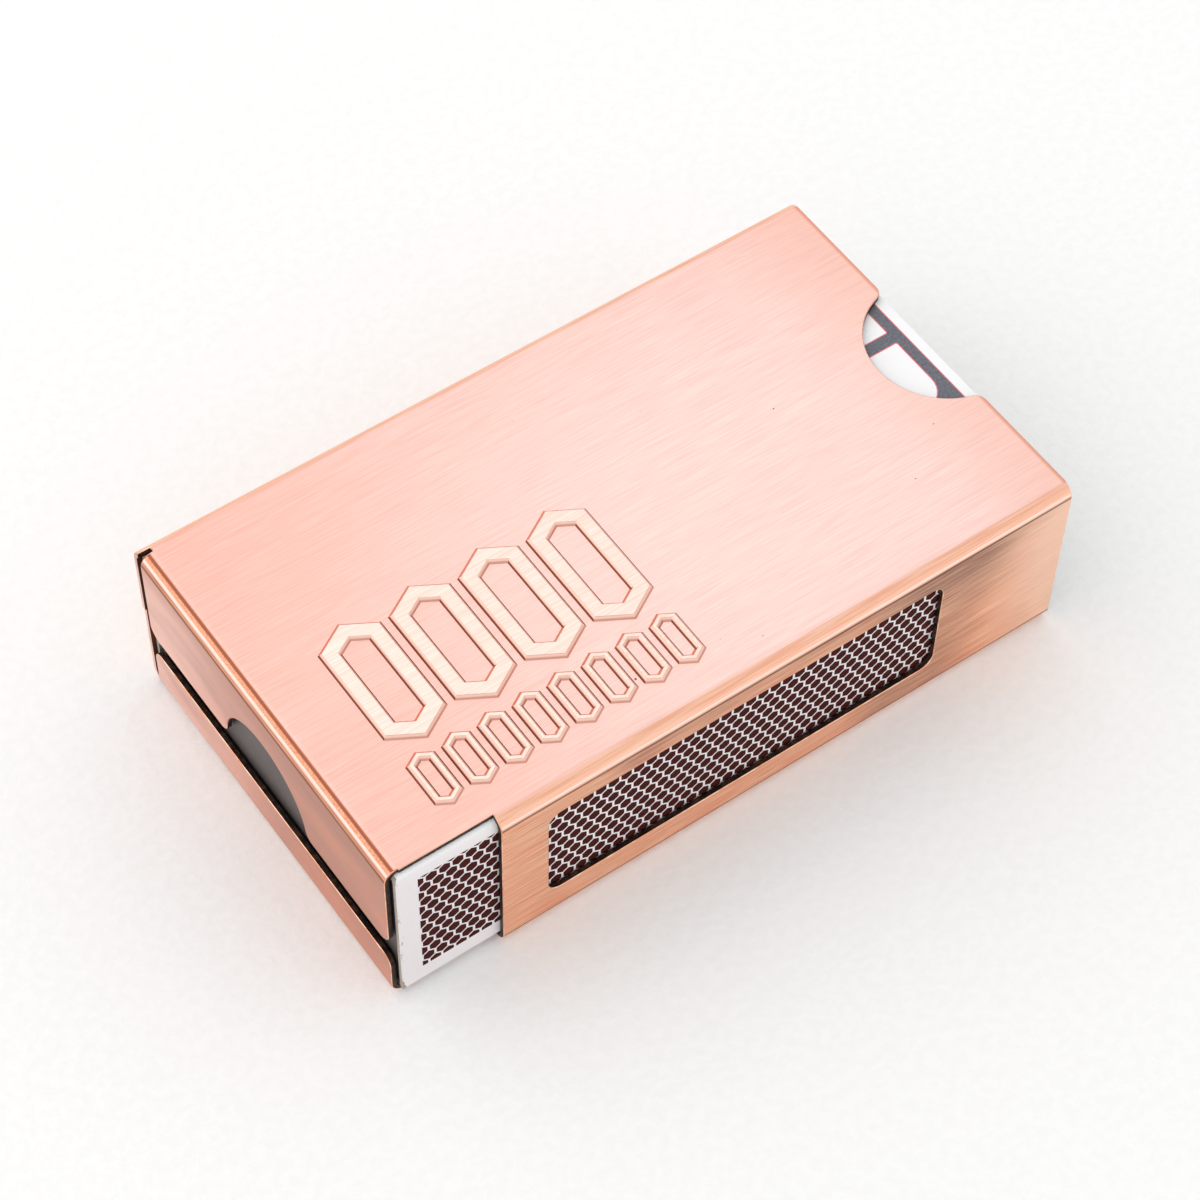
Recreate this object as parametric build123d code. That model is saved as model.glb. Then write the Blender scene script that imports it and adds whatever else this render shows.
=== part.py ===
from build123d import *

import math
import os

# A folded copper-coloured holder and the matchbox that it carries. Sizes are in millimetres.
# The origin is the middle of the footprint, on the surface that the holder stands on.
# +X runs along the length to the open end, -Y is the front with the window, +Z is up.

# Holder, one folded sheet
holder_length = 62.0
holder_width = 36.0
holder_height = 17.0
sheet = 0.45
bend_radius = 1.2

# Front wall, which stops short of the left end, and its window
front_gap = 9.2
bare_edge_setback = 1.1
window_left_web = 4.1
window_right_web = 12.25
window_bottom_web = 3.55
window_top_web = 2.95
window_corner = 1.2

# Back wall, where the sheet's two edges meet in a butt seam
seam_height = 9.2
seam_gap = 0.1
back_upper_setback = 0.12
back_lower_setback = 0.22
relief_width = 0.45

# End tab bent down from the top plate, and end lip bent up from the bottom plate
tab_drop = 9.8
tab_corner = 1.2
finger_notch_radius = 5.6
finger_notch_mouth = 0.9
lip_rise = 4.95
lip_corner = 1.1

# Thumb notches in the open end of the top and bottom plates
thumb_notch_radius = 6.3
thumb_notch_depth = 5.1
thumb_notch_mouth = 1.0
thumb_notch_offset = -0.4

# Decoration pressed up in the top plate, two rows of long hexagonal rings
press_height = 0.3
press_slope = 0.25
press_round = 0.08
press_left_margin = 6.2
press_front_margin = 3.3
press_length = 24.0
small_ring_count = 8
small_ring_depth = 5.35
small_ring_gap = 0.5
small_ring_stroke = 0.8
large_ring_count = 4
large_ring_depth = 12.15
large_ring_gap = 0.6
large_ring_stroke = 1.6
row_gap = 0.45

# Rounding of the cut edges on the sheet's outer face, and how near an edge lies to count as on it
edge_round = 0.08
skin_tolerance = 0.001

# Matchbox sleeve, a card tube glued in a lap behind
card = 0.35
box_clearance = 0.07
end_clearance = 0.1
lap_depth = 11.0

# Striking coats on the sleeve's long sides
coat = 0.05
coat_end_margin = 1.85
coat_bottom_margin = 2.2
coat_top_margin = 1.1

# Drawer
tray_card = 0.4
tray_end_plies = 2
tray_clearance = 0.15
tray_end_setback = 0.15

# Matches, lying in layers with their heads at the open end
stick_side = 1.9
head_width = 2.5
head_length = 3.8
head_edge_round = 0.9
match_gap = 0.2
match_layer_gap = 0.05
match_layers = 2
match_end_room = 5.5
match_shift_shares = (0.35, 0.1, 0.6, 0.25, 0.8, 0.4, 0.15, 0.55, 0.3, 0.7, 0.2)

# Overrun of every cut past the face that it opens
overrun = 2.0

# Places along an edge that are looked at
edge_check_shares = (0.1, 0.5, 0.9)

# Angles in degrees
quarter_turn = 90
hexagon_end_slope = 30
sharp_angle = 45

# Planes and edges that follow from the sizes above
holder_right = holder_length / 2
holder_left = -holder_right
holder_back = holder_width / 2
holder_front = -holder_back
bend_start = holder_left + bend_radius
tab_half_width = holder_back - bend_radius
front_wall_start = holder_left + front_gap
bare_edge = holder_front + bare_edge_setback
relief_back = tab_half_width + relief_width

sleeve_gap = sheet + box_clearance + coat
sleeve_left = holder_left + sheet + end_clearance
sleeve_right = holder_right
sleeve_width = holder_width - 2 * sleeve_gap
sleeve_height = holder_height - 2 * sleeve_gap
sleeve_back = sleeve_width / 2
sleeve_front = -sleeve_back
sleeve_bottom = sleeve_gap
sleeve_top = holder_height - sleeve_gap
sleeve_corner = bend_radius - sleeve_gap

tray_left = sleeve_left + tray_end_setback
tray_right = sleeve_right - tray_end_setback
tray_front = sleeve_front + card + tray_clearance
tray_back = sleeve_back - 2 * card - tray_clearance
tray_bottom = sleeve_bottom + card + tray_clearance
tray_top = sleeve_top - card - tray_clearance
tray_floor = tray_bottom + tray_card
tray_end = tray_end_plies * tray_card
inside_left = tray_left + tray_end
inside_right = tray_right - tray_end
inside_front = tray_front + tray_card
inside_back = tray_back - tray_card


def block(x_span, y_span, z_span):
    """A box given by its low and high place along each axis."""
    spans = (x_span, y_span, z_span)
    sides = [high - low for low, high in spans]
    middle = [(high + low) / 2 for low, high in spans]
    return Pos(*middle) * Box(*sides)


def rectangle(x_span, y_span):
    """A flat rectangle given by its low and high place along both directions."""
    sides = [high - low for low, high in (x_span, y_span)]
    middle = [(high + low) / 2 for low, high in (x_span, y_span)]
    return Pos(*middle) * Rectangle(*sides)


def along_x(section, start, end):
    """A section drawn in y and z, carried from x = start to x = end."""
    return extrude(Plane.YZ.offset(start) * section, end - start)


def along_y(section, start, end):
    """A section drawn in x and z, carried from y = start to y = end."""
    return extrude(Plane.XZ.offset(-end) * section, end - start)


def along_z(section, start, end):
    """A section drawn in x and y, carried from z = start to z = end."""
    return extrude(Plane.XY.offset(start) * section, end - start)


def tube_section(width, height, corner, wall):
    """The rounded cross-section, in y and z, of a tube centred in the holder."""
    outside = RectangleRounded(width, height, corner)
    inside = RectangleRounded(width - 2 * wall, height - 2 * wall, corner - wall)
    return Pos(0, holder_height / 2) * (outside - inside)


def folded_walls():
    """Top, bottom and back of the holder, with the front wall short of the left end."""
    section = tube_section(holder_width, holder_height, bend_radius, sheet)
    walls = along_x(section, holder_left + back_upper_setback, holder_right)
    below = (-overrun, seam_height)
    full_height = (-overrun, holder_height + overrun)
    past_left = holder_left - overrun
    past_front = holder_front - overrun
    past_back = holder_back + overrun
    walls -= block((past_left, bend_start), (past_front, relief_back), full_height)
    walls -= block((past_left, front_wall_start), (past_front, bare_edge), full_height)
    walls -= block((past_left, holder_left + back_lower_setback), (relief_back - overrun, past_back), below)
    seam = (seam_height - seam_gap / 2, seam_height + seam_gap / 2)
    walls -= block((past_left, holder_right + overrun), (relief_back, past_back), seam)
    return walls


def bent_end(length):
    """The left end of a plate bent down. The plate's face lies at z = 0 and the tip at z = -length."""
    outer_bend = CenterArc((bend_start, -bend_radius), bend_radius, quarter_turn, quarter_turn)
    inner_bend = CenterArc((bend_start, -bend_radius), bend_radius - sheet, quarter_turn, quarter_turn)
    outer_tip = (holder_left, -length)
    inner_tip = (holder_left + sheet, -length)
    outline = [
        outer_bend,
        Line(outer_bend @ 1, outer_tip),
        Line(outer_tip, inner_tip),
        Line(inner_tip, inner_bend @ 1),
        inner_bend,
        Line(inner_bend @ 0, outer_bend @ 0),
    ]
    return along_y(make_face(outline), -tab_half_width, tab_half_width)


def end_tab():
    """The tab that hangs from the top plate, with a finger notch in its lower edge."""
    tip = holder_height - tab_drop
    outline = rectangle((-tab_half_width, tab_half_width), (tip, holder_height))
    outline -= Pos(0, tip) * Circle(finger_notch_radius)
    tips = outline.vertices().group_by(Axis.Y)[0].sort_by(Axis.X)
    outline = fillet([tips[0], tips[-1]], tab_corner)
    mouth = outline.vertices().group_by(Axis.Y)[0].sort_by(Axis.X)[1:-1]
    outline = fillet(mouth, finger_notch_mouth)
    return Pos(0, 0, holder_height) * bent_end(tab_drop) & along_x(outline, holder_left, bend_start)


def end_lip():
    """The lip that stands up from the bottom plate."""
    outline = rectangle((-tab_half_width, tab_half_width), (0, lip_rise))
    tips = outline.vertices().group_by(Axis.Y)[-1]
    outline = fillet(tips, lip_corner)
    return mirror(bent_end(lip_rise), Plane.XY) & along_x(outline, holder_left, bend_start)


def window_cut():
    """The window, with round corners, through the front wall."""
    opening = rectangle(
        (front_wall_start + window_left_web, holder_right - window_right_web),
        (window_bottom_web, holder_height - window_top_web),
    )
    opening = fillet(opening.vertices(), window_corner)
    return along_y(opening, holder_front - overrun, holder_front + overrun)


def thumb_notch_cut():
    """The round notches through the open end of both plates, with rounded mouths."""
    centre = holder_right + thumb_notch_radius - thumb_notch_depth
    reach = thumb_notch_radius + overrun
    across = (thumb_notch_offset - reach, thumb_notch_offset + reach)
    plate = rectangle((holder_right - reach, holder_right), across)
    plate -= Pos(centre, thumb_notch_offset) * Circle(thumb_notch_radius)
    mouth = plate.vertices().group_by(Axis.X)[-1].sort_by(Axis.Y)[1:-1]
    plate = fillet(mouth, thumb_notch_mouth)
    notch = rectangle((holder_right - reach, holder_right + overrun), across) - plate
    return along_z(notch, -overrun, holder_height + overrun)


def long_hexagon(width, depth):
    """A hexagon with straight long sides along y and pointed ends."""
    side = width / 2
    tip = depth / 2
    shoulder = tip - side * math.tan(math.radians(hexagon_end_slope))
    corners = [(side, shoulder), (0, tip), (-side, shoulder), (-side, -shoulder), (0, -tip), (side, -shoulder)]
    return Polygon(*corners, align=None)


def hexagon_solid(width, depth, levels):
    """A solid through long hexagons, given as pairs of height and inset from the full outline."""
    point_inset_factor = 1 / math.cos(math.radians(hexagon_end_slope))
    faces = []
    for height, inset in levels:
        face = long_hexagon(width - 2 * inset, depth - 2 * inset * point_inset_factor)
        faces.append(Plane.XY.offset(height) * face)
    return loft(faces, ruled=True)


def pressed_ring(width, depth, stroke):
    """One raised ring with sloping sides, standing on z = 0, with a root that reaches into the sheet."""
    root = sheet / 2
    over = press_height + root
    raised = hexagon_solid(width, depth, [(-root, 0), (0, 0), (press_height, press_slope)])
    counter_levels = [(-sheet, stroke), (0, stroke), (press_height, stroke - press_slope)]
    counter_levels.append((over, stroke - press_slope))
    ring = raised - hexagon_solid(width, depth, counter_levels)
    return fillet(ring.faces().sort_by(Axis.Z)[-1].edges(), press_round)


def ring_row(front, depth, count, gap, stroke):
    """A row of equal rings that fills the decoration's length."""
    width = (press_length - gap * (count - 1)) / count
    ring = pressed_ring(width, depth, stroke)
    first = holder_left + press_left_margin + width / 2
    return [Pos(first + place * (width + gap), front + depth / 2, 0) * ring for place in range(count)]


def press_decoration(plate):
    """Raise the rings on the top plate and hollow the same shapes into its underside."""
    small_front = holder_front + press_front_margin
    large_front = small_front + small_ring_depth + row_gap
    rings = ring_row(small_front, small_ring_depth, small_ring_count, small_ring_gap, small_ring_stroke)
    rings += ring_row(large_front, large_ring_depth, large_ring_count, large_ring_gap, large_ring_stroke)
    plate += [Pos(0, 0, holder_height) * ring for ring in rings]
    plate -= [Pos(0, 0, holder_height - sheet) * ring for ring in rings]
    return plate


def on_skin(point):
    """True where a point lies on the sheet's outer face, flat or bent."""
    across = max(abs(point.Y) - tab_half_width, 0)
    up = max(abs(point.Z - holder_height / 2) - (holder_height / 2 - bend_radius), 0)
    along = max(bend_start - point.X, 0)
    return any(
        math.isclose(reach, bend_radius, abs_tol=skin_tolerance)
        for reach in (math.hypot(across, up), math.hypot(along, up))
    )


def is_sharp(edge, solid):
    """True where the two faces beside an edge meet at an angle instead of running on smoothly."""
    middle = edge @ (1 / 2)
    normals = [face.normal_at(middle) for face in solid.faces() if edge in face.edges()]
    return normals[0].get_angle(normals[1]) > sharp_angle


def round_cut_edges(solid):
    """Take the burr off every cut edge of the sheet's outer face."""
    on_outer_face = solid.edges().filter_by(lambda edge: all(on_skin(edge @ share) for share in edge_check_shares))
    return fillet(on_outer_face.filter_by(lambda edge: is_sharp(edge, solid)), edge_round)


def make_holder():
    """The whole folded sheet."""
    holder = folded_walls() + end_tab() + end_lip()
    holder -= window_cut()
    holder -= thumb_notch_cut()
    return press_decoration(round_cut_edges(holder))


def make_sleeve():
    """The card tube, doubled by the glued lap inside its back, and pressed round where it meets the end bends."""
    section = tube_section(sleeve_width, sleeve_height, sleeve_corner, card)
    lap_back = sleeve_back - card
    lap_top = sleeve_top - card
    section += rectangle((lap_back - card, lap_back), (lap_top - lap_depth, lap_top))
    outline = rectangle((sleeve_left, sleeve_right), (sleeve_bottom, sleeve_top))
    outline = fillet(outline.vertices().group_by(Axis.X)[0], sleeve_corner)
    return along_x(section, sleeve_left, sleeve_right) & along_y(outline, sleeve_front, sleeve_back)


def make_coat(y_span):
    """The striking coat on one long side of the sleeve."""
    return block(
        (sleeve_left + coat_end_margin, sleeve_right - coat_end_margin),
        y_span,
        (sleeve_bottom + coat_bottom_margin, sleeve_top - coat_top_margin),
    )


def make_tray():
    """The open drawer, whose ends are folded double."""
    body = block((tray_left, tray_right), (tray_front, tray_back), (tray_bottom, tray_top))
    hollow = block((inside_left, inside_right), (inside_front, inside_back), (tray_floor, tray_top + overrun))
    return body - hollow


def make_head():
    """A match head on the end of a stick. It starts at x = 0 and swells from the stick's side."""
    head = Pos(head_length / 2, 0, 0) * Box(head_length, head_width, head_width)
    long_edges = head.edges().filter_by(Axis.X)
    head = fillet(long_edges, head_edge_round)
    tip_edges = head.faces().sort_by(Axis.X)[-1].edges()
    return fillet(tip_edges, head_edge_round)


def make_matches():
    """Every stick and head, side by side in layers on the drawer's floor."""
    inside_width = inside_back - inside_front
    across = int(inside_width // (head_width + match_gap))
    pitch = inside_width / across
    match_length = inside_right - inside_left - match_end_room
    stick = Pos(-(match_length - head_length) / 2, 0, 0) * Box(match_length - head_length, stick_side, stick_side)
    head = make_head()
    pieces = {}
    for layer in range(match_layers):
        height = tray_floor + match_layer_gap + head_width / 2 + layer * (head_width + match_layer_gap)
        for place in range(across):
            number = layer * across + place + 1
            shift = match_shift_shares[number % len(match_shift_shares)] * match_end_room
            spot = Pos(inside_right - head_length - shift, inside_front + (place + 1 / 2) * pitch, height)
            pieces[f"match_stick_{number:02d}"] = spot * stick
            pieces[f"match_head_{number:02d}"] = spot * head
    return pieces


parts = {
    "metal_holder": make_holder(),
    "box_sleeve": make_sleeve(),
    "striker_front": make_coat((sleeve_front - coat, sleeve_front)),
    "striker_back": make_coat((sleeve_back, sleeve_back + coat)),
    "box_tray": make_tray(),
}
parts.update(make_matches())

os.makedirs("parts", exist_ok=True)
for name, solid in parts.items():
    export_step(solid, f"parts/{name}.step")
    print(name, round(solid.volume, 3), "mm3")
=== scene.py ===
import math
import random

import bpy
from mathutils import Matrix, Vector


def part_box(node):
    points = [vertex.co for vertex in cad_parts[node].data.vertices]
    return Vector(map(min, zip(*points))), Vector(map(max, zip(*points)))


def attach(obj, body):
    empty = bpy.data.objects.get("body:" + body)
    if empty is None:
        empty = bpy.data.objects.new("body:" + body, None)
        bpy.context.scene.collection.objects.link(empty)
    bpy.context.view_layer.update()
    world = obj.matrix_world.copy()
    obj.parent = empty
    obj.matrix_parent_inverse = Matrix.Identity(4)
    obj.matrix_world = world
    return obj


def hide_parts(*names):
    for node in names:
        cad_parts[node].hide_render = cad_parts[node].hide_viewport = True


# The looks of a matchbox in a folded, brushed copper holder. Lengths are in metres.
# +X runs along the length to the open end, -Y is the side with the window, +Z is up.

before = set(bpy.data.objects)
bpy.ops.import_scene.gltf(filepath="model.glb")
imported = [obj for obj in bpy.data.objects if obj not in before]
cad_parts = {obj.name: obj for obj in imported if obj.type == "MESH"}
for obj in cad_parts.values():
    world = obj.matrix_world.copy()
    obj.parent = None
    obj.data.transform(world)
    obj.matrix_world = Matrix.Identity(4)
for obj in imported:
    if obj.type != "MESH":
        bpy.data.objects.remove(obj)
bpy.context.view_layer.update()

MM = 0.001

# Sizes of the folded sheet that the finish follows
SHEET = 0.45 * MM
BEND = 1.2 * MM
EDGE_ROUND = 0.08 * MM
PRESS = 0.3 * MM

# Places that follow from the frame
HOLDER_LOW, HOLDER_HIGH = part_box("metal_holder")
SLEEVE_LOW, SLEEVE_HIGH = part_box("box_sleeve")
PLATE_TOP = HOLDER_HIGH.z - PRESS
BEND_START = HOLDER_LOW.x + BEND
FLAT_HALF_WIDTH = HOLDER_HIGH.y - BEND
FLAT_HALF_HEIGHT = PLATE_TOP / 2 - BEND


# Node helpers

def linear(red, green, blue):
    """A colour given as 0 to 255, as it looks on screen, in the numbers that a shader takes."""
    def channel(value):
        share = value / 255
        return share / 12.92 if share <= 0.04045 else ((share + 0.055) / 1.055) ** 2.4
    return (channel(red), channel(green), channel(blue), 1)


class Shader:
    """Adds linked nodes to one new material."""

    def __init__(self, name):
        self.material = bpy.data.materials.new(name)
        self.material.use_nodes = True
        self.tree = self.material.node_tree
        self.tree.nodes.clear()
        self.output = self.tree.nodes.new("ShaderNodeOutputMaterial")

    def add(self, kind, inputs=None, **settings):
        """A new node with its settings and inputs."""
        node = self.tree.nodes.new(kind)
        for name, value in settings.items():
            setattr(node, name, value)
        for name, value in (inputs or {}).items():
            self.put(node.inputs[name], value)
        return node

    def put(self, socket, value):
        """Link another node's output to an input, or set the input to a plain value."""
        if isinstance(value, bpy.types.NodeSocket):
            self.tree.links.new(value, socket)
        else:
            socket.default_value = value

    def calculate(self, operation, *values, clamp=False):
        node = self.add("ShaderNodeMath", operation=operation, use_clamp=clamp)
        for socket, value in zip(node.inputs, values):
            self.put(socket, value)
        return node.outputs[0]

    def times(self, first, second):
        return self.calculate("MULTIPLY", first, second)

    def mix(self, factor, first, second):
        """Mixes two colours, each another node's output or given as 0 to 255."""
        node = self.add("ShaderNodeMix", data_type="RGBA")
        self.put(node.inputs[0], factor)
        for place, colour in ((6, first), (7, second)):
            self.put(node.inputs[place], linear(*colour) if isinstance(colour, tuple) else colour)
        return node.outputs[2]

    def blend_values(self, factor, first, second):
        """Mixes two numbers."""
        node = self.add("ShaderNodeMix", data_type="FLOAT")
        for place, value in zip((0, 2, 3), (factor, first, second)):
            self.put(node.inputs[place], value)
        return node.outputs[0]

    def step(self, value, low, high, most=1.0):
        """Rises smoothly from 0 at low to most at high."""
        settings = {"Value": value, "From Min": low, "From Max": high, "To Max": most}
        return self.add("ShaderNodeMapRange", settings, interpolation_type="SMOOTHSTEP").outputs[0]

    def fall(self, value, low, high):
        """Falls smoothly from 1 at low to 0 at high."""
        return self.calculate("SUBTRACT", 1, self.step(value, low, high))

    def band(self, value, low, high, soft):
        """One between low and high, fading to 0 within soft on both sides."""
        rise = self.step(value, low - soft, low)
        drop = self.step(value, high, high + soft)
        return self.calculate("SUBTRACT", rise, drop, clamp=True)

    def place(self):
        """The point on the surface, in metres, as a vector and as its three parts."""
        vector = self.add("ShaderNodeTexCoord").outputs["Object"]
        parts = self.add("ShaderNodeSeparateXYZ", {"Vector": vector}).outputs
        return vector, parts

    def normal(self):
        """The parts of the surface's direction, without their signs, and the signed ones."""
        vector = self.add("ShaderNodeNewGeometry").outputs["Normal"]
        signed = self.add("ShaderNodeSeparateXYZ", {"Vector": vector}).outputs
        return [self.calculate("ABSOLUTE", part) for part in signed], signed

    def grain(self, vector, scales, detail=2.0, rough=0.5, offset=(0, 0, 0)):
        """Noise whose grains per metre along each axis are given by scales."""
        mapped = self.add("ShaderNodeMapping", {"Vector": vector, "Scale": scales, "Location": offset})
        settings = {"Vector": mapped.outputs[0], "Scale": 1.0, "Detail": detail, "Roughness": rough}
        return self.add("ShaderNodeTexNoise", settings).outputs["Fac"]

    def bump(self, height, depth, strength):
        inputs = {"Height": height, "Distance": depth, "Strength": strength}
        return self.add("ShaderNodeBump", inputs).outputs["Normal"]

    def surface(self, inputs):
        """End the material with its surface, and return it."""
        principled = self.add("ShaderNodeBsdfPrincipled", inputs)
        self.tree.links.new(principled.outputs[0], self.output.inputs["Surface"])
        return self.material


# Copper

# Brush marks: grains per metre across and along the stroke
FINE_ACROSS, FINE_ALONG = 14000, 190
MEDIUM_ACROSS, MEDIUM_ALONG = 7600, 200
FINE_SHARE = 0.65
BRUSH_DEPTH = 0.01 * MM

# The top plate's painted highlight is brightest here, and fades with distance from it
PAINTED_HIGHLIGHT_CENTRE = (14 * MM, -6 * MM, PLATE_TOP)
PAINTED_HIGHLIGHT_FADE = (6 * MM, 50 * MM)

# Stretches along the length over which the plate and walls turn warm, rubbed, pale or clean
PLATE_WARM_END = (21 * MM, 31 * MM)
PLATE_RIM = (HOLDER_HIGH.x - 0.45 * MM, HOLDER_HIGH.x - 0.15 * MM)
WALL_PALE_END = (22 * MM, 30 * MM)
WALL_CLEAN_END = (21 * MM, 32 * MM)

# The walls' patina: a slanting patch on the web right of the window, and a strip under the top bend
WEB_PATINA = (15 * MM, 17 * MM)
WEB_PATINA_FADE = 10 * MM
WEB_PATINA_SLANT = -0.3
STRIP_RISE = (12 * MM, 16 * MM)
STRIP_START = (-24 * MM, 6 * MM)

# The tab and lip change from front to back, and darken under the top bend
END_FRONT_TO_BACK = (-8 * MM, 14 * MM)
END_UNDER_BEND = (12.5 * MM, 16 * MM)

# Heights on the pressed rings: where the flat top begins, where the foot ends, and where the slope begins
RING_TOP = (PLATE_TOP + 0.5 * PRESS, PLATE_TOP + 0.95 * PRESS)
RING_FOOT = (PLATE_TOP + 0.3 * PRESS, PLATE_TOP + 0.7 * PRESS)
RING_START = (PLATE_TOP + 0.01 * PRESS, PLATE_TOP + 0.06 * PRESS)


class Brushing:
    """The brush's strokes, along X on the plates and walls and along Y on the tab and the lip.

    Their height is in strokes, their light and dark in lines, and the few deep ones in scores.
    """

    def __init__(self, shader):
        self.shader = shader
        self.vector, self.parts = shader.place()
        self.sides, self.signed = shader.normal()
        self.on_end = shader.step(self.sides[0], 0.6, 0.9)
        fine = self.marks(FINE_ACROSS, FINE_ALONG, 2.0)
        medium = self.marks(MEDIUM_ACROSS, MEDIUM_ALONG, 1.0)
        self.strokes = shader.blend_values(FINE_SHARE, medium, fine)
        self.lines = shader.step(self.strokes, 0.41, 0.59)
        self.scores = shader.step(medium, 0.62, 0.74)

    def marks(self, across, along, detail):
        """Noise drawn out along the stroke."""
        lengthwise = self.shader.grain(self.vector, (along, across, across), detail)
        endwise = self.shader.grain(self.vector, (across, along, across), detail)
        return self.shader.blend_values(self.on_end, lengthwise, endwise)


def plate_colour(shader, brushing):
    """Pink, with a painted highlight right of the middle, palest on the pressed rings, rubbed orange along
    the open end.
    """
    x, _, z = brushing.parts
    # far is the plate's own pink; middle is the colour of the painted highlight round its centre
    far = shader.mix(brushing.lines, (234, 175, 160), (245, 192, 178))
    middle = shader.mix(brushing.lines, (246, 208, 199), (254, 222, 214))
    distance = shader.add("ShaderNodeVectorMath", operation="DISTANCE")
    shader.put(distance.inputs[0], brushing.vector)
    shader.put(distance.inputs[1], PAINTED_HIGHLIGHT_CENTRE)
    tone = shader.mix(shader.step(distance.outputs["Value"], *PAINTED_HIGHLIGHT_FADE), middle, far)
    clouds = shader.grain(brushing.vector, (45, 190, 190), 2.0)
    tone = shader.mix(shader.step(clouds, 0.45, 0.7, 0.2), tone, (248, 206, 198))
    tone = shader.mix(shader.times(brushing.scores, 0.25), tone, (214, 150, 134))
    ring_top = shader.mix(brushing.lines, (247, 212, 198), (254, 229, 217))
    tone = shader.mix(shader.step(z, *RING_TOP), tone, ring_top)
    tone = shader.mix(shader.step(x, *PLATE_WARM_END, 0.3), tone, (242, 180, 156))
    tone = shader.mix(shader.step(x, *PLATE_RIM, 0.7), tone, (222, 138, 104))
    pits = shader.grain(brushing.vector, (1400, 1400, 1400), 1.0)
    return shader.mix(shader.step(pits, 0.82, 0.83), tone, (170, 100, 78))


def wall_patina(shader, brushing):
    """How much patina the brush left on the walls, in clouds, on the web and under the top bend."""
    x, y, z = brushing.parts
    slanting = shader.calculate("MULTIPLY_ADD", z, WEB_PATINA_SLANT, x)
    on_front = shader.calculate("LESS_THAN", y, 0)
    most_on_web = shader.blend_values(on_front, 0.25, 0.66)
    web = shader.times(shader.band(slanting, *WEB_PATINA, WEB_PATINA_FADE), most_on_web)
    strip = shader.times(shader.step(z, *STRIP_RISE), shader.step(x, *STRIP_START))
    places = shader.calculate("MULTIPLY_ADD", strip, 0.55, web)
    clouds = shader.grain(brushing.vector, (90, 240, 240), 2.0, offset=(0.35, 0.2, 0.1))
    cover = shader.calculate("MULTIPLY_ADD", places, 0.9, shader.calculate("SUBTRACT", clouds, 0.5))
    return shader.times(shader.step(cover, 0.05, 0.95), shader.fall(x, *WALL_CLEAN_END))


def wall_colour(shader, brushing):
    """Orange, a deeper copy of the plates' copper painted as the shade of the floor that a wall reflects,
    paler at the open end, with grey-brown patina in soft patches.
    """
    # Painted shade: the wall's base is set deeper than the plates'
    tone = shader.mix(brushing.lines, (240, 160, 124), (255, 207, 173))
    tone = shader.mix(shader.step(brushing.parts[0], *WALL_PALE_END, 0.65), tone, (255, 218, 194))
    patina = shader.times(wall_patina(shader, brushing), shader.blend_values(brushing.lines, 1.0, 0.5))
    tone = shader.mix(patina, tone, (146, 106, 90))
    return shader.mix(shader.times(brushing.scores, 0.4), tone, (168, 108, 84))


def end_colour(shader, brushing):
    """Salmon, a deeper copy of the plates' copper painted as shade, deeper towards the front, with soft
    grey-brown clouds.
    """
    _, y, z = brushing.parts
    # Painted shade: the tab and lip are set deeper than the plates
    front = shader.mix(brushing.lines, (216, 142, 114), (230, 162, 134))
    back = shader.mix(brushing.lines, (246, 192, 174), (254, 210, 195))
    tone = shader.mix(shader.step(y, *END_FRONT_TO_BACK), front, back)
    tone = shader.mix(shader.step(z, *END_UNDER_BEND, 0.55), tone, (182, 120, 96))
    clouds = shader.grain(brushing.vector, (170, 60, 170), 2.0, offset=(0, 0.43, 0))
    tone = shader.mix(shader.step(clouds, 0.38, 0.66, 0.55), tone, (182, 134, 118))
    return shader.mix(shader.times(brushing.scores, 0.25), tone, (176, 116, 94))


def bend_painted_reflections(shader, brushing, flat):
    """Orange over the bends, all painted reflection: a bright painted highlight across each bend, a dark
    painted reflection where the bend meets the wall, and on the left bend a dark painted line near the
    plate.
    """
    side_x, _, side_z = brushing.sides
    on_left = shader.step(side_x, 0.02, 0.1)
    # The bends' orange band is a painted reflection of darker surroundings
    front = shader.mix(brushing.lines, (240, 176, 146), (249, 200, 174))
    left = shader.mix(brushing.lines, (204, 130, 98), (236, 172, 142))
    tone = shader.mix(on_left, front, left)
    tone = shader.mix(shader.step(side_z, 0.12, 0.2), flat, tone)
    # Dark painted reflections near the wall, then a bright painted highlight higher on the bend
    front_dark_reflection = shader.band(side_z, 0.09, 0.15, 0.05)
    left_dark_reflection = shader.band(side_z, 0.2, 0.3, 0.07)
    dark = shader.blend_values(on_left, front_dark_reflection, left_dark_reflection)
    tone = shader.mix(shader.times(dark, 0.75), tone, (108, 62, 46))
    front_ridge_highlight = shader.band(side_z, 0.32, 0.42, 0.08)
    left_ridge_highlight = shader.band(side_z, 0.6, 0.68, 0.08)
    ridge_highlight = shader.blend_values(on_left, front_ridge_highlight, left_ridge_highlight)
    tone = shader.mix(shader.times(ridge_highlight, 0.765), tone, (254, 238, 228))
    # On the left bend, a dark painted reflection near the plate
    crease_dark_reflection = shader.times(shader.band(side_z, 0.9, 0.975, 0.03), on_left)
    return shader.mix(shader.times(crease_dark_reflection, 0.9), tone, (146, 80, 56))


def slope_shade_and_patina(shader, brushing):
    """The rings' sloping sides, painted lighter facing front and darker facing back as painted shade, with
    patina at their foot, and painted shade there too: brown to the left, nearly black to the right.
    """
    to_right, to_back, _ = brushing.signed
    to_left = shader.times(to_right, -1)
    foot = shader.fall(brushing.parts[2], *RING_FOOT)
    # Painted shade by which way each slope faces
    tone = shader.mix(shader.step(to_back, 0.2, 0.6), (248, 206, 190), (226, 146, 118))
    tone = shader.mix(shader.times(foot, 0.7), tone, (196, 124, 104))
    tone = shader.mix(shader.times(shader.step(to_right, 0.45, 0.65), foot), tone, (48, 28, 28))
    return shader.mix(shader.times(shader.step(to_left, 0.45, 0.65), foot), tone, (132, 70, 52))


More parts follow.
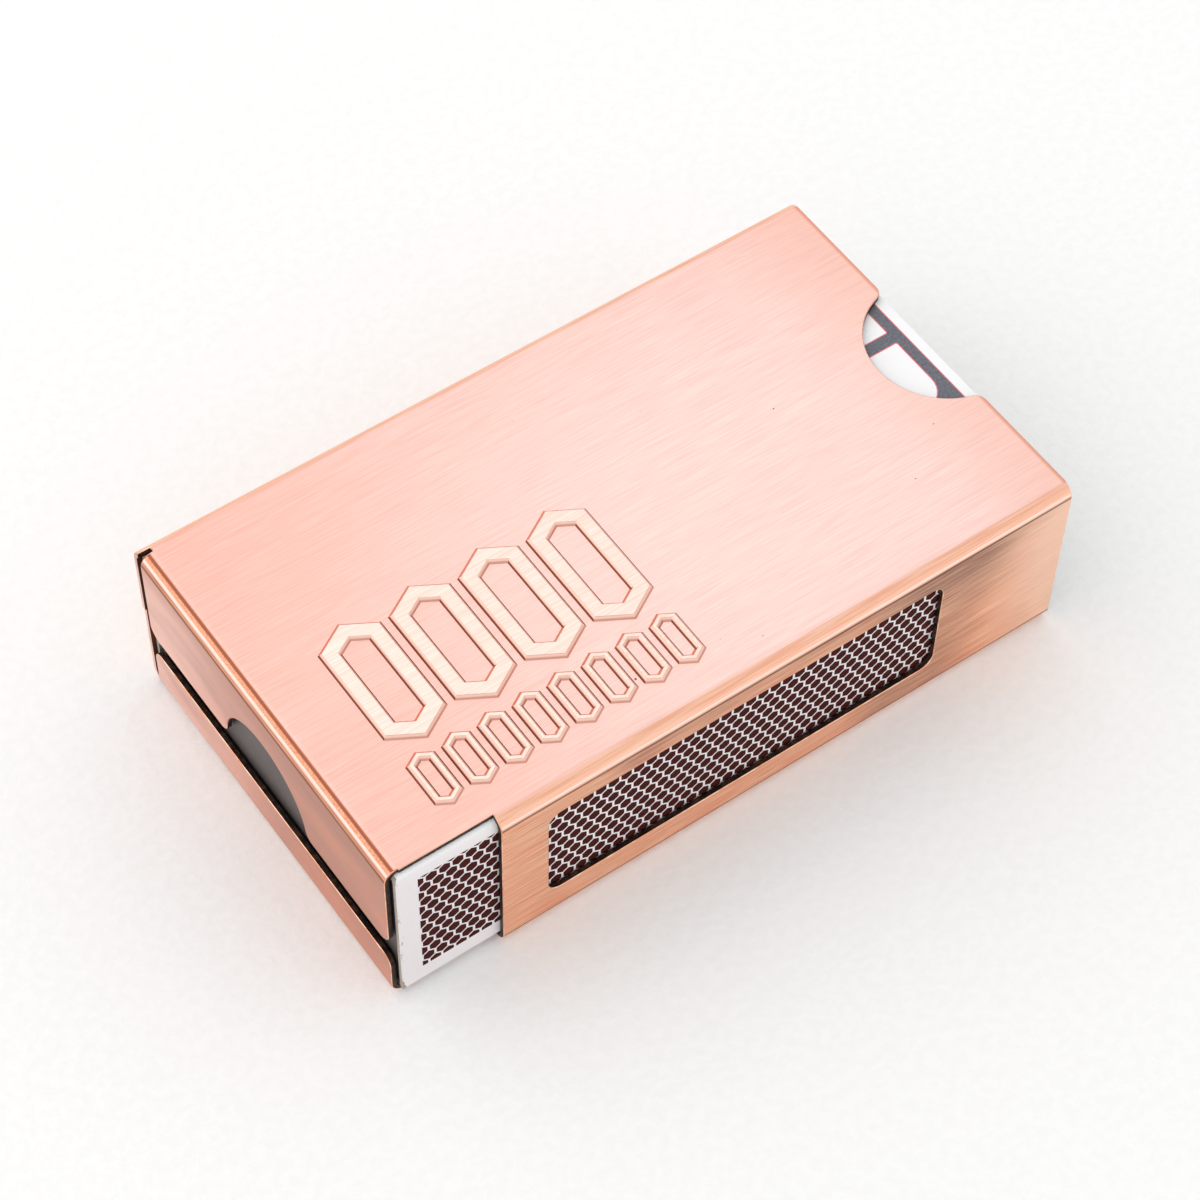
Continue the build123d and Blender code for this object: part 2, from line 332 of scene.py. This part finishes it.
def copper_material():
    """Brushed copper: pale on the plates, orange on the walls and bends, the walls' deeper tone being
    painted shade and the bends' bands painted reflections.
    """
    shader = Shader("brushed_copper")
    brushing = Brushing(shader)
    side_z = brushing.sides[2]
    # Each face takes the copper tone of its direction, so the walls and ends carry painted shade
    flat = shader.mix(brushing.on_end, wall_colour(shader, brushing), end_colour(shader, brushing))
    colour = shader.mix(shader.step(side_z, 0.02, 0.06), flat, bend_painted_reflections(shader, brushing, flat))
    colour = shader.mix(shader.step(side_z, 0.95, 0.99), colour, plate_colour(shader, brushing))
    above_plate = shader.step(brushing.parts[2], *RING_START)
    on_slope = shader.times(above_plate, shader.fall(side_z, 0.86, 0.985))
    colour = shader.mix(on_slope, colour, slope_shade_and_patina(shader, brushing))
    along_stroke = shader.add("ShaderNodeMix", data_type="VECTOR")
    for place, value in ((0, brushing.on_end), (4, (1, 0, 0)), (5, (0, 1, 0))):
        shader.put(along_stroke.inputs[place], value)
    return shader.surface({
        "Base Color": colour,
        "Metallic": 1.0,
        "Roughness": shader.blend_values(brushing.lines, 0.3, 0.42),
        "Anisotropic": 0.5,
        "Tangent": along_stroke.outputs[1],
        "Normal": shader.bump(brushing.strokes, BRUSH_DEPTH, 0.4),
    })


def edge_material():
    """The rounded cut edges, rubbed bright."""
    shader = Shader("copper_edge")
    vector, _ = shader.place()
    rub = shader.grain(vector, (900, 900, 900), 3.0)
    return shader.surface({
        "Base Color": shader.mix(shader.step(rub, 0.35, 0.65), (240, 164, 126), (255, 214, 184)),
        "Metallic": 1.0,
        "Roughness": shader.blend_values(rub, 0.22, 0.36),
        "Normal": shader.bump(rub, 0.01 * MM, 0.3),
    })


def patina_material():
    """The nearly black cut faces of the sheet."""
    shader = Shader("dark_patina")
    vector, _ = shader.place()
    blotches = shader.grain(vector, (1500, 1500, 1500), 4.0, 0.65)
    return shader.surface({
        "Base Color": shader.mix(shader.step(blotches, 0.4, 0.75), (34, 24, 20), (92, 60, 48)),
        "Metallic": 0.7,
        "Roughness": shader.blend_values(blotches, 0.35, 0.6),
        "Normal": shader.bump(blotches, 0.02 * MM, 0.5),
    })


def inside_material():
    """The sheet's inner face, dull dark brown copper with faint rolling marks."""
    shader = Shader("inside_copper")
    vector, _ = shader.place()
    marks = shader.grain(vector, (120, 3000, 3000), 3.0)
    clouds = shader.grain(vector, (180, 180, 180), 3.0)
    colour = shader.mix(shader.step(clouds, 0.3, 0.7), (92, 58, 44), (134, 86, 66))
    return shader.surface({
        "Base Color": shader.mix(shader.step(marks, 0.4, 0.7), colour, (108, 72, 58)),
        "Metallic": 0.85,
        "Roughness": shader.blend_values(marks, 0.4, 0.6),
        "Normal": shader.bump(marks, 0.01 * MM, 0.3),
    })


# Which finish a face of the holder takes

OUTER, EDGE, CUT, INSIDE = range(4)

# How deep below the sheet's outer face each finish reaches
OUTER_DEPTH = 0.1 * EDGE_ROUND
EDGE_DEPTH = 1.1 * EDGE_ROUND
RING_DEPTH = 0.1 * SHEET

# How squarely a face must look outwards to take each finish, 1 being straight out and -1 straight in
OUTER_FACING = 0.99
EDGE_FACING = 0.1
INSIDE_FACING = -0.5
RING_FACING = 0.05
TAB_FACING = 0.9


def outer_depth(point):
    """How far inside the sheet's outer face a point lies, and that face's direction there."""
    across = max(abs(point.y) - FLAT_HALF_WIDTH, 0)
    up = max(abs(point.z - PLATE_TOP / 2) - FLAT_HALF_HEIGHT, 0)
    along = max(BEND_START - point.x, 0)
    sign_y = math.copysign(1, point.y)
    sign_z = math.copysign(1, point.z - PLATE_TOP / 2)
    if abs(point.y) < FLAT_HALF_WIDTH + EDGE_ROUND and point.x < BEND_START:
        return BEND - math.hypot(along, up), Vector((-along, 0, sign_z * up))
    return BEND - math.hypot(across, up), Vector((0, sign_y * across, sign_z * up))


def finish_of(polygon):
    """Which of the holder's four finishes a face takes."""
    centre, normal = polygon.center, polygon.normal
    depth, direction = outer_depth(centre)
    facing = normal.dot(direction.normalized()) if direction.length else 0
    on_ring = centre.z > PLATE_TOP - RING_DEPTH and normal.z > RING_FACING
    on_tab = normal.x < -TAB_FACING and centre.x < HOLDER_LOW.x + SHEET
    if on_ring or on_tab or (depth < OUTER_DEPTH and facing > OUTER_FACING):
        return OUTER
    if depth < EDGE_DEPTH and facing > EDGE_FACING:
        return EDGE
    return INSIDE if facing < INSIDE_FACING else CUT


def dress(name, materials):
    """Give a node of the frame new materials, and return its mesh."""
    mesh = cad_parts[name].data
    mesh.materials.clear()
    for material in materials:
        mesh.materials.append(material)
    return mesh


def dress_holder():
    """Give the outer face, its rounded edges, the cut faces and the inside their own finish."""
    finishes = (copper_material(), edge_material(), patina_material(), inside_material())
    mesh = dress("metal_holder", finishes)
    for polygon in mesh.polygons:
        polygon.material_index = finish_of(polygon)


# Card

WHITE_CARD, RAW_CARD = range(2)

# Where the sleeve's card is frayed: near its left end, and most near its foot
FRAY_WIDTH = 0.7 * MM
FRAY_FOOT = (1.5 * MM, 5 * MM)


def white_card_material():
    """Smooth white board, whiter on its upward, printed face as painted light, and frayed at its left end.
    """
    shader = Shader("white_card")
    vector, (x, _, z) = shader.place()
    fibres = shader.grain(vector, (700, 5000, 5000), 4.0, 0.6)
    clouds = shader.grain(vector, (90, 90, 90), 3.0)
    side = shader.mix(shader.step(clouds, 0.3, 0.7), (235, 229, 231), (244, 239, 240))
    side = shader.mix(shader.step(fibres, 0.62, 0.8), side, (216, 209, 211))
    face = shader.mix(shader.step(fibres, 0.62, 0.8), (251, 250, 251), (241, 238, 240))
    _, (_, _, upwards) = shader.normal()
    # Painted light: upward faces take the whiter colour, all others the greyer side colour
    colour = shader.mix(shader.step(upwards, 0.5, 0.9), side, face)
    near_end = shader.fall(x, SLEEVE_LOW.x, SLEEVE_LOW.x + FRAY_WIDTH)
    reach = shader.times(near_end, shader.blend_values(shader.fall(z, *FRAY_FOOT), 0.16, 0.32))
    ragged = shader.grain(vector, (2600, 2600, 900), 3.0, 0.6)
    frayed = shader.step(shader.calculate("ADD", reach, ragged), 0.72, 0.82)
    return shader.surface({
        "Base Color": shader.mix(frayed, colour, (164, 148, 134)),
        "Roughness": shader.blend_values(fibres, 0.5, 0.68),
        "Normal": shader.bump(fibres, 0.015 * MM, 0.25),
    })


def raw_card_material():
    """The card's cut edges and uncoated inner face, grey-brown pulp."""
    shader = Shader("raw_card")
    vector, _ = shader.place()
    pulp = shader.grain(vector, (2600, 6000, 6000), 5.0, 0.7)
    flecks = shader.grain(vector, (1800, 1800, 1800), 2.0)
    colour = shader.mix(shader.step(pulp, 0.3, 0.7), (150, 138, 126), (196, 186, 174))
    return shader.surface({
        "Base Color": shader.mix(shader.step(flecks, 0.66, 0.74), colour, (112, 98, 88)),
        "Roughness": 0.85,
        "Normal": shader.bump(pulp, 0.03 * MM, 0.6),
    })


def dark_card_material():
    """The drawer's black-brown board, slightly glossy, paler where it is rubbed."""
    shader = Shader("dark_card")
    vector, _ = shader.place()
    fibres = shader.grain(vector, (900, 4200, 4200), 4.0, 0.6)
    clouds = shader.grain(vector, (160, 160, 160), 3.0)
    colour = shader.mix(shader.step(clouds, 0.3, 0.7), (68, 62, 60), (80, 73, 71))
    return shader.surface({
        "Base Color": shader.mix(shader.step(fibres, 0.55, 0.8), colour, (98, 91, 88)),
        "Roughness": shader.blend_values(fibres, 0.38, 0.58),
        "Normal": shader.bump(fibres, 0.02 * MM, 0.4),
    })


def dress_sleeve():
    """White outside, raw card on the cut ends and inside."""
    mesh = dress("box_sleeve", (white_card_material(), raw_card_material()))
    middle = (SLEEVE_LOW + SLEEVE_HIGH) / 2
    for polygon in mesh.polygons:
        outward = polygon.center - middle
        on_end = abs(polygon.normal.x) > 0.5
        inner = polygon.normal.y * outward.y + polygon.normal.z * outward.z < 0
        polygon.material_index = RAW_CARD if on_end or inner else WHITE_CARD


# New meshes

def new_mesh(name, points, faces, material, body):
    """A mesh object in the holder's frame that rides on a body."""
    mesh = bpy.data.meshes.new(name)
    mesh.from_pydata(points, [], faces)
    mesh.update()
    mesh.materials.append(material)
    piece = bpy.data.objects.new(name, mesh)
    bpy.context.scene.collection.objects.link(piece)
    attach(piece, body)
    return piece


def prism(points, faces, top, base):
    """Add the prism between two equal rings of points, open at its base, to a growing mesh."""
    first, count = len(points), len(top)
    points.extend(top)
    points.extend(base)
    faces.append([first + place for place in range(count)])
    for place in range(count):
        after = (place + 1) % count
        faces.append([first + place, first + count + place, first + count + after, first + after])


# Striking coat

DOT_PITCH = 1.137 * MM
DOT_ROW = DOT_PITCH * math.sqrt(3) / 2
DOT_GAP = 0.19 * MM
DOT_WIDTH_SHARE = 0.97
DOT_DEPTH_SHARE = 0.4
FIRST_ROW_SHARE = 0.1

# Rows and columns past those that fit, so that cut-off dots fill the field up to its edges
SPARE_DOTS = 2


def coat_material():
    """Dark red striking compound, gritty."""
    shader = Shader("striking_coat")
    vector, _ = shader.place()
    grit = shader.grain(vector, (9000, 9000, 9000), 3.0, 0.7)
    wear = shader.grain(vector, (700, 700, 700), 3.0)
    colour = shader.mix(shader.step(grit, 0.35, 0.7), (52, 16, 14), (84, 29, 25))
    return shader.surface({
        "Base Color": shader.mix(shader.step(wear, 0.6, 0.8), colour, (84, 34, 28)),
        "Roughness": shader.blend_values(grit, 0.7, 0.9),
        "Specular IOR Level": 0.1,
        "Normal": shader.bump(grit, 0.02 * MM, 0.7),
    })


def clip(polygon, axis, limit, keep_above):
    """The part of a flat polygon on one side of a straight limit."""
    sign = 1 if keep_above else -1
    kept = []
    for start, end in zip(polygon, polygon[1:] + polygon[:1]):
        inside_start = sign * (start[axis] - limit) >= 0
        inside_end = sign * (end[axis] - limit) >= 0
        if inside_start:
            kept.append(start)
        if inside_start != inside_end:
            share = (limit - start[axis]) / (end[axis] - start[axis])
            kept.append(tuple(a + share * (b - a) for a, b in zip(start, end)))
    return kept


def dot_outline(centre_x, centre_z, low, high):
    """A pointed-top hexagon, a little narrow, cut off at the edges of the printed field."""
    radius = (DOT_PITCH - DOT_GAP) / math.sqrt(3)
    corners = []
    for turn in range(6):
        angle = math.radians(60 * turn + 30)
        across = DOT_WIDTH_SHARE * radius * math.cos(angle)
        corners.append((centre_x + across, centre_z + radius * math.sin(angle)))
    for axis in (0, 1):
        corners = clip(corners, axis, low[axis], True)
        corners = clip(corners, axis, high[axis], False)
    return corners


def make_dots(name, node, outward, material):
    """The printed field of dots on one long side of the sleeve, as raised prisms."""
    low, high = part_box(node)
    base, skin = (high.y, low.y) if outward < 0 else (low.y, high.y)
    top = base + DOT_DEPTH_SHARE * (skin - base)
    points, faces = [], []
    rows = int((high.z - low.z) / DOT_ROW) + SPARE_DOTS
    columns = int((high.x - low.x) / DOT_PITCH) + SPARE_DOTS
    for row in range(rows):
        for column in range(columns):
            centre_x = low.x + (column + 0.5 * (row % 2)) * DOT_PITCH
            centre_z = low.z + (row + FIRST_ROW_SHARE) * DOT_ROW
            outline = dot_outline(centre_x, centre_z, (low.x, low.z), (high.x, high.z))
            if len(outline) < 3:
                continue
            if outward > 0:
                outline.reverse()
            top_ring = [(px, top, pz) for px, pz in outline]
            base_ring = [(px, base, pz) for px, pz in outline]
            prism(points, faces, top_ring, base_ring)
    dots = new_mesh(name, points, faces, material, "matchbox")
    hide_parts(node)


# Printed label

INK = 0.02 * MM
KEYLINE_INK = 0.8 * INK
KEYLINE = 0.09 * MM
LABEL_MARGIN = 0.96 * MM
LABEL_BAND = 0.9 * MM
LABEL_HALF_WIDTH = 15.6 * MM
LARGE_CORNER = 2.2 * MM
SMALL_CORNER = 0.2 * MM
CORNER_STEPS = 8

# A corner that looks sharp, though its outline has as many points as a round one
SHARP_CORNER = 0.002 * MM

# The front and back edge of each white panel between the printed bars, and the round of its corners there
LABEL_PANELS = (
    (-14.7 * MM, -6.5 * MM, LARGE_CORNER, SMALL_CORNER),
    (-5.2 * MM, 1.5 * MM, LARGE_CORNER, SMALL_CORNER),
    (2.6 * MM, 14.7 * MM, SMALL_CORNER, LARGE_CORNER),
)


def ink_material(name, dark, light):
    """Printing ink on card, with a fine uneven cover."""
    shader = Shader(name)
    vector, _ = shader.place()
    cover = shader.grain(vector, (4200, 4200, 4200), 4.0, 0.65)
    return shader.surface({
        "Base Color": shader.mix(shader.step(cover, 0.3, 0.7), dark, light),
        "Roughness": shader.blend_values(cover, 0.42, 0.6),
        "Normal": shader.bump(cover, 0.01 * MM, 0.3),
    })


def inset(low, high, margin):
    """The low and high corner of a rectangle drawn in by a margin on all sides."""
    return (low[0] + margin, low[1] + margin), (high[0] - margin, high[1] - margin)


def rounded_rectangle(low, high, front_corner, back_corner):
    """The outline of a rectangle with round corners, anticlockwise from above."""
    corners = (
        (high[0], high[1], 0, back_corner),
        (low[0], high[1], 90, back_corner),
        (low[0], low[1], 180, front_corner),
        (high[0], low[1], 270, front_corner),
    )
    outline = []
    for x, y, start, corner in corners:
        centre_x = x - math.copysign(corner, x - (low[0] + high[0]) / 2)
        centre_y = y - math.copysign(corner, y - (low[1] + high[1]) / 2)
        for place in range(CORNER_STEPS + 1):
            angle = math.radians(start + 90 * place / CORNER_STEPS)
            outline.append((centre_x + corner * math.cos(angle), centre_y + corner * math.sin(angle)))
    return outline


class PrintedRings:
    """Flat printed rings in one ink, each between two outlines with equally many points."""

    def __init__(self, height):
        self.height = height
        self.points = []
        self.faces = []

    def add(self, outer, inner):
        """Add a ring with its thin sides."""
        first, count = len(self.points), len(outer)
        top, base = SLEEVE_HIGH.z + self.height, SLEEVE_HIGH.z
        for outline, level in ((outer, top), (inner, top), (outer, base), (inner, base)):
            self.points.extend((px, py, level) for px, py in outline)
        for place in range(count):
            after = (place + 1) % count
            rings = [(first + ring * count + place, first + ring * count + after) for ring in range(4)]
            (a, b), (c, d), (e, f), (g, h) = rings
            self.faces.append([a, b, d, c])
            self.faces.append([e, f, b, a])
            self.faces.append([c, d, h, g])

    def make(self, name, material):
        new_mesh(name, self.points, self.faces, material, "matchbox")


def make_label():
    """A plain printed frame on the sleeve's top, with white panels between its bars and thin keylines."""
    left, right = SLEEVE_LOW.x + LABEL_MARGIN, SLEEVE_HIGH.x - LABEL_MARGIN
    half = LABEL_HALF_WIDTH
    bars, keylines = PrintedRings(INK), PrintedRings(KEYLINE_INK)
    between = [(first[1] + second[0]) / 2 for first, second in zip(LABEL_PANELS, LABEL_PANELS[1:])]
    edges = [-half, *between, half]
    for panel, cell_front, cell_back in zip(LABEL_PANELS, edges, edges[1:]):
        front, back, front_corner, back_corner = panel
        cell = rounded_rectangle((left, cell_front), (right, cell_back), SHARP_CORNER, SHARP_CORNER)
        low, high = (left + LABEL_BAND, front), (right - LABEL_BAND, back)
        hole = rounded_rectangle(low, high, front_corner, back_corner)
        white_low, white_high = inset(low, high, KEYLINE)
        white = rounded_rectangle(white_low, white_high, front_corner - KEYLINE, back_corner - KEYLINE)
        bars.add(cell, hole)
        keylines.add(hole, white)
    border = rounded_rectangle((left, -half), (right, half), SMALL_CORNER, SMALL_CORNER)
    outer_low, outer_high = inset((left, -half), (right, half), -KEYLINE)
    keylines.add(rounded_rectangle(outer_low, outer_high, SMALL_CORNER, SMALL_CORNER), border)
    bars.make("label_frame", ink_material("label_slate", (88, 89, 99), (114, 115, 125)))
    keylines.make("label_keylines", ink_material("label_rose", (224, 104, 116), (238, 128, 136)))


# Matches

HEAD_RINGS = 12
HEAD_SIDES = 16
HEAD_SEED = 7

# Shares of the head's box that its thickness takes, and of its thickness that chance takes off
HEAD_FIT_SHARE = 0.98
HEAD_THINNEST_SHARE = 0.92
HEAD_LUMP_SHARE = 0.05

# A head's thickness where it meets the stick, and shares of its length where it is full and starts its tip
HEAD_NECK_SHARE = 0.72
HEAD_FULL_SHARE = 0.45
HEAD_TIP_SHARE = 0.6


def wood_material(name, pale, dark):
    """Split aspen with fine grain along the stick."""
    shader = Shader(name)
    vector, _ = shader.place()
    rings = shader.grain(vector, (60, 1700, 1700), 4.0, 0.6)
    pores = shader.grain(vector, (500, 9000, 9000), 3.0)
    colour = shader.mix(shader.step(rings, 0.35, 0.65), pale, dark)
    return shader.surface({
        "Base Color": shader.mix(shader.step(pores, 0.62, 0.75), colour, (176, 132, 84)),
        "Roughness": shader.blend_values(rings, 0.55, 0.75),
        "Normal": shader.bump(pores, 0.03 * MM, 0.5),
    })


def head_material():
    """Dried striking paste, dull red with a grainy skin."""
    shader = Shader("match_head_paste")
    vector, _ = shader.place()
    grit = shader.grain(vector, (5200, 5200, 5200), 4.0, 0.7)
    clouds = shader.grain(vector, (600, 600, 600), 2.0)
    colour = shader.mix(shader.step(clouds, 0.3, 0.7), (128, 24, 22), (160, 40, 34))
    return shader.surface({
        "Base Color": shader.mix(shader.step(grit, 0.55, 0.75), colour, (96, 18, 18)),
        "Roughness": shader.blend_values(grit, 0.6, 0.8),
        "Normal": shader.bump(grit, 0.05 * MM, 0.7),
    })


def head_radius(share):
    """A dipped head's half thickness along its length, as a share of its greatest."""
    swelling = math.sin(math.pi / 2 * min(share / HEAD_FULL_SHARE, 1))
    tip = max((share - HEAD_TIP_SHARE) / (1 - HEAD_TIP_SHARE), 0)
    onto_stick = HEAD_NECK_SHARE + (1 - HEAD_NECK_SHARE) * swelling
    return onto_stick * math.sqrt(max(1 - tip ** 2, 0))


def make_head(node, paste, dice):
    """A lumpy drop of paste that is thickest past its middle and tapers onto the stick."""
    low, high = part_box(node)
    length, width = high.x - low.x, high.z - low.z
    middle_y, middle_z = (low.y + high.y) / 2, (low.z + high.z) / 2
    girth = HEAD_FIT_SHARE * width / 2 * dice.uniform(HEAD_THINNEST_SHARE, 1)
    points, faces = [], []
    for ring in range(HEAD_RINGS + 1):
        share = ring / HEAD_RINGS
        for side in range(HEAD_SIDES):
            angle = 2 * math.pi * side / HEAD_SIDES
            reach = girth * head_radius(share) * (1 - HEAD_LUMP_SHARE * dice.random())
            across, up = reach * math.cos(angle), reach * math.sin(angle)
            points.append((low.x + length * share, middle_y + across, middle_z + up))
    for ring in range(HEAD_RINGS):
        here, there = ring * HEAD_SIDES, (ring + 1) * HEAD_SIDES
        for side in range(HEAD_SIDES):
            after = (side + 1) % HEAD_SIDES
            faces.append([here + side, here + after, there + after, there + side])
    head = new_mesh(f"dipped_{node}", points, faces, paste, "tray")
    head.data.polygons.foreach_set("use_smooth", [True] * len(faces))
    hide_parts(node)


def dress_matches():
    """Give the sticks three tones of wood in turn, and put a dipped head in place of each plain one."""
    tones = (
        wood_material("aspen_pale", (238, 212, 168), (222, 188, 138)),
        wood_material("aspen_warm", (232, 198, 148), (208, 166, 112)),
        wood_material("aspen_grey", (228, 206, 170), (204, 176, 134)),
    )
    paste = head_material()
    dice = random.Random(HEAD_SEED)
    for name in list(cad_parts):
        if name.startswith("match_stick"):
            number = int(name.split("_")[-1])
            dress(name, (tones[number % len(tones)],))
        elif name.startswith("match_head"):
            make_head(name, paste, dice)


# Studio

FLOOR_HALF = 1.5
FLOOR_DROP = 0.02 * MM
FILL_LEVEL = 0.9

# Each lamp's place, width, height and brightness
LAMPS = {
    "key": ((-0.32, 0.46, 0.6), 1.1, 1.1, 0.45),
    "front_strip": ((0.16, -0.45, 0.055), 0.42, 0.06, 0.7),
    "left_strip": ((-0.42, 0.24, 0.17), 0.36, 0.05, 1.2),
}


def floor_material():
    """Pale paper with a faint tooth."""
    shader = Shader("studio_paper")
    vector, _ = shader.place()
    tooth = shader.grain(vector, (1100, 1100, 1100), 3.0, 0.6)
    return shader.surface({
        "Base Color": shader.mix(shader.step(tooth, 0.35, 0.65), (251, 251, 250), (254, 254, 254)),
        "Roughness": 0.9,
        "Specular IOR Level": 0.1,
        "Normal": shader.bump(tooth, 0.1 * MM, 0.7),
    })


def make_floor():
    """A plain floor, a hair below the holder so that the two share no plane."""
    half, level = FLOOR_HALF, -FLOOR_DROP
    corners = [(-half, -half, level), (half, -half, level), (half, half, level), (-half, half, level)]
    mesh = bpy.data.meshes.new("floor")
    mesh.from_pydata(corners, [], [(0, 1, 2, 3)])
    mesh.materials.append(floor_material())
    floor = bpy.data.objects.new("floor", mesh)
    bpy.context.scene.collection.objects.link(floor)


def make_world():
    """White to the camera and in reflections, and a softer white fill on everything else."""
    world = bpy.data.worlds.new("studio")
    bpy.context.scene.world = world
    world.use_nodes = True
    nodes, links = world.node_tree.nodes, world.node_tree.links
    nodes.clear()
    path = nodes.new("ShaderNodeLightPath")
    seen = path.outputs["Is Camera Ray"]
    for ray in ("Is Glossy Ray", "Is Transmission Ray"):
        either = nodes.new("ShaderNodeMath")
        either.operation = "MAXIMUM"
        links.new(seen, either.inputs[0])
        links.new(path.outputs[ray], either.inputs[1])
        seen = either.outputs[0]
    strength = nodes.new("ShaderNodeMapRange")
    links.new(seen, strength.inputs["Value"])
    strength.inputs["To Min"].default_value = FILL_LEVEL
    strength.inputs["To Max"].default_value = 1.0
    background = nodes.new("ShaderNodeBackground")
    background.inputs["Color"].default_value = (1, 1, 1, 1)
    links.new(strength.outputs[0], background.inputs["Strength"])
    links.new(background.outputs[0], nodes.new("ShaderNodeOutputWorld").inputs["Surface"])


def area_lamp(name, place, width, height, level):
    """A rectangular soft lamp aimed at the holder, of a given brightness whatever its size."""
    data = bpy.data.lights.new(name, "AREA")
    data.shape = "RECTANGLE"
    data.size, data.size_y = width, height
    data.energy = level * math.pi * width * height
    lamp = bpy.data.objects.new(name, data)
    bpy.context.scene.collection.objects.link(lamp)
    lamp.location = place
    aim = Vector((0, 0, PLATE_TOP / 2)) - Vector(place)
    lamp.rotation_euler = aim.to_track_quat("-Z", "Y").to_euler()


# Camera, fitted to the holder's edges in the photograph
CAMERA_PLACE = (-88.83 * MM, -120.90 * MM, 218.09 * MM)
CAMERA_TARGET = (-1.23 * MM, -1.09 * MM, 8.5 * MM)
CAMERA_ROLL = 1.293
CAMERA_LENS = 99.4
SENSOR_WIDTH = 36.0
NEAREST_SEEN = 0.01


def make_camera():
    data = bpy.data.cameras.new("camera")
    data.lens = CAMERA_LENS
    data.sensor_width = SENSOR_WIDTH
    data.clip_start = NEAREST_SEEN
    camera = bpy.data.objects.new("camera", data)
    bpy.context.scene.collection.objects.link(camera)
    look = (Vector(CAMERA_TARGET) - Vector(CAMERA_PLACE)).to_track_quat("-Z", "Y").to_matrix()
    turn = Matrix.Rotation(math.radians(CAMERA_ROLL), 3, "Z")
    camera.matrix_world = Matrix.Translation(CAMERA_PLACE) @ (look @ turn).to_4x4()
    bpy.context.scene.camera = camera


make_camera()
make_floor()
make_world()
for lamp_name, lamp_settings in LAMPS.items():
    area_lamp(lamp_name, *lamp_settings)
dress_holder()
dress_sleeve()
dress("box_tray", (dark_card_material(),))
coat = coat_material()
make_dots("striker_dots_front", "striker_front", -1, coat)
make_dots("striker_dots_back", "striker_back", 1, coat)
make_label()
dress_matches()

bpy.context.scene.view_settings.view_transform = "Standard"
